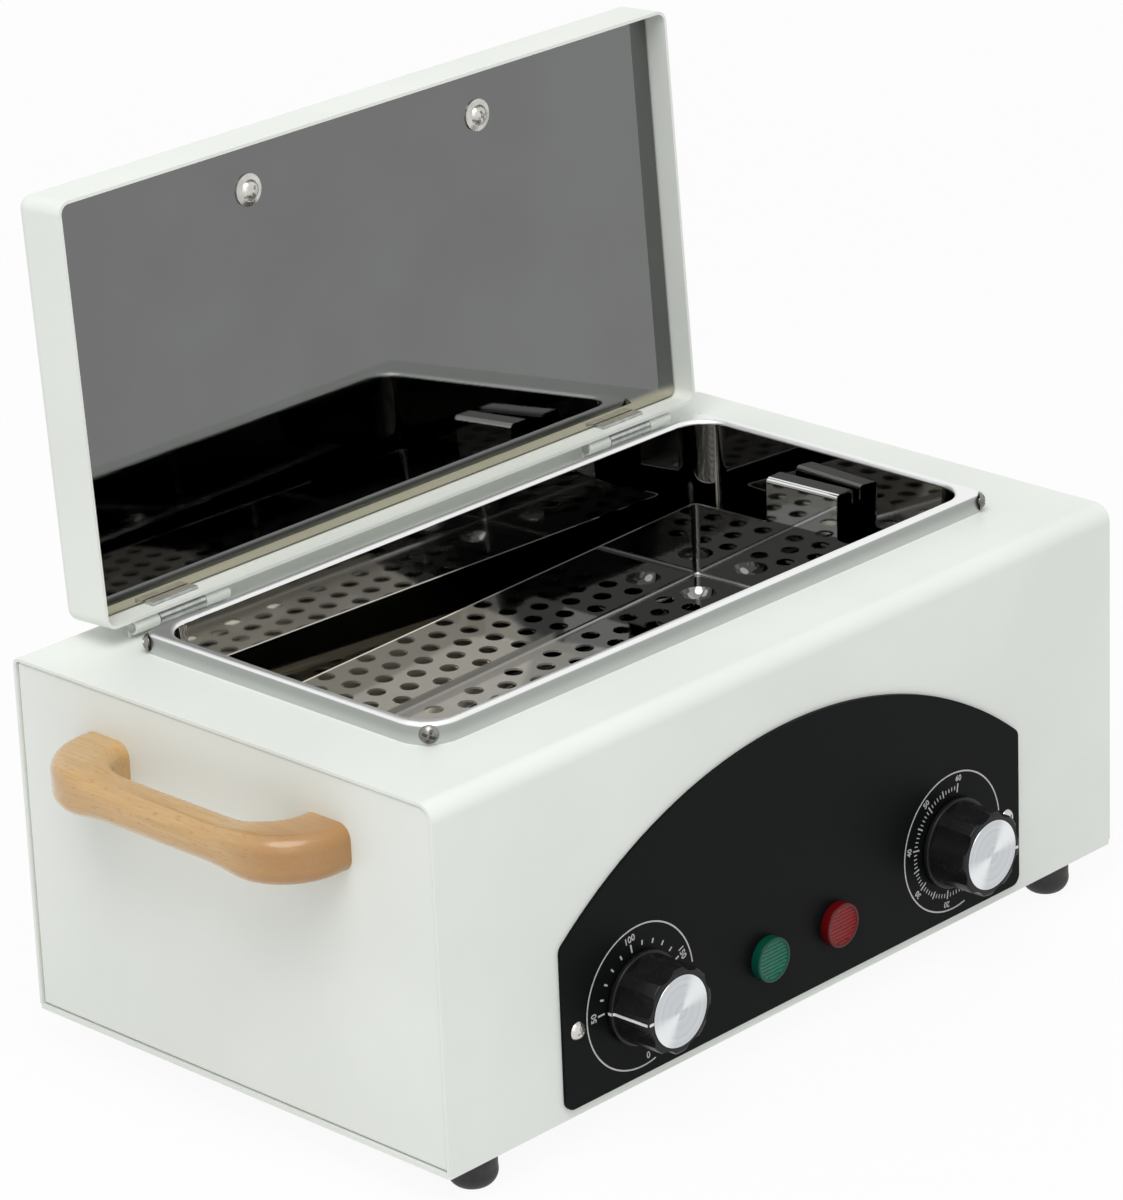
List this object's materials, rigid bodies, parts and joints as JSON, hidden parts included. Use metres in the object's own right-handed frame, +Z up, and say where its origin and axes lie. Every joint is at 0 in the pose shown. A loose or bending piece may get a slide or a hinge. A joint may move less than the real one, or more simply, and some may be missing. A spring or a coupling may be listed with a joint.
{
  "type": "nail tool sterilizer",
  "caption": "Bench-top dry-heat box for sterilizing nail tools: open steel tank with a perforated lift-out basket, hinged lid, temperature and timer dials, wooden end handles.",
  "frame": {"origin": "on the surface it stands on, midway between the four feet", "axes": "+X along the body towards its right end as seen from the dials, +Y from the dial side to the hinge side, +Z up"},
  "size_m": [0.357, 0.2076, 0.2707],
  "materials": {
    "casing_paint": "smooth off-white stove enamel, satin gloss",
    "mirror_steel": "bright polished stainless steel",
    "satin_steel": "plain rolled stainless steel",
    "zinc_steel": "bright zinc-plated steel",
    "panel_black": "satin black screen-printed panel",
    "knob_black": "black phenolic moulding",
    "knob_cap": "spun aluminium disc",
    "lens_green": "translucent green ribbed lens",
    "lens_red": "translucent red ribbed lens",
    "rubber": "matte black rubber",
    "beech": "lacquered steamed beech",
    "black_housing": "black nylon moulding",
    "ceramic": "unglazed steatite"
  },
  "bodies": {
    "casing": {"body_wrap": "casing_paint", "end_plate_right": "casing_paint", "end_plate_left": "casing_paint", "base_plate": "casing_paint", "foot_front_left": "rubber", "foot_front_right": "rubber", "foot_back_left": "rubber", "foot_back_right": "rubber", "foot_screws": "zinc_steel", "foot_nuts": "zinc_steel", "base_screws": "zinc_steel", "control_panel": "panel_black", "panel_screws": "zinc_steel", "thermostat": "zinc_steel", "timer": "black_housing", "temperature_nut": "zinc_steel", "timer_nut": "zinc_steel", "lamp_lens_green": "lens_green", "lamp_lens_red": "lens_red", "lamp_holder_green": "black_housing", "lamp_holder_red": "black_housing", "tank": "mirror_steel", "tank_screws": "zinc_steel", "basket": "mirror_steel", "heating_element": "satin_steel", "element_clamp_bars": "zinc_steel", "heat_shield": "satin_steel", "stud_nuts": "zinc_steel", "thermostat_bulb": "satin_steel", "thermal_cutout": "black_housing", "hinge_body_leaf_right": "casing_paint", "hinge_body_leaf_left": "casing_paint", "hinge_pin_right": "satin_steel", "hinge_pin_left": "satin_steel", "handle_right": "beech", "handle_left": "beech", "handle_screws": "zinc_steel", "cable_inlet": "rubber", "terminal_block": "ceramic"},
    "lid": {"lid_shell": "casing_paint", "lid_liner": "mirror_steel", "liner_washers": "zinc_steel", "liner_screws": "zinc_steel", "hinge_lid_leaf_right": "satin_steel", "hinge_lid_leaf_left": "satin_steel"},
    "temperature_dial": {"temperature_knob": "knob_black", "temperature_knob_cap": "knob_cap", "temperature_shaft": "zinc_steel"},
    "timer_dial": {"timer_knob": "knob_black", "timer_knob_cap": "knob_cap", "timer_shaft": "zinc_steel"}
  },
  "joints": [
    {"name": "lid_hinge", "type": "hinge", "parent": "casing", "child": "lid", "pos_m": [0, 0.072, 0.1336], "axis": [1, 0, 0], "range_deg": [0, 93.6]},
    {"name": "temperature_turn", "type": "hinge", "parent": "casing", "child": "temperature_dial", "pos_m": [-0.072, -0.0918, 0.0413], "axis": [0, 1, 0], "range_deg": [0, 240]},
    {"name": "timer_turn", "type": "hinge", "parent": "casing", "child": "timer_dial", "pos_m": [0.072, -0.0918, 0.0413], "axis": [0, 1, 0], "range_deg": [0, 270]}
  ]
}
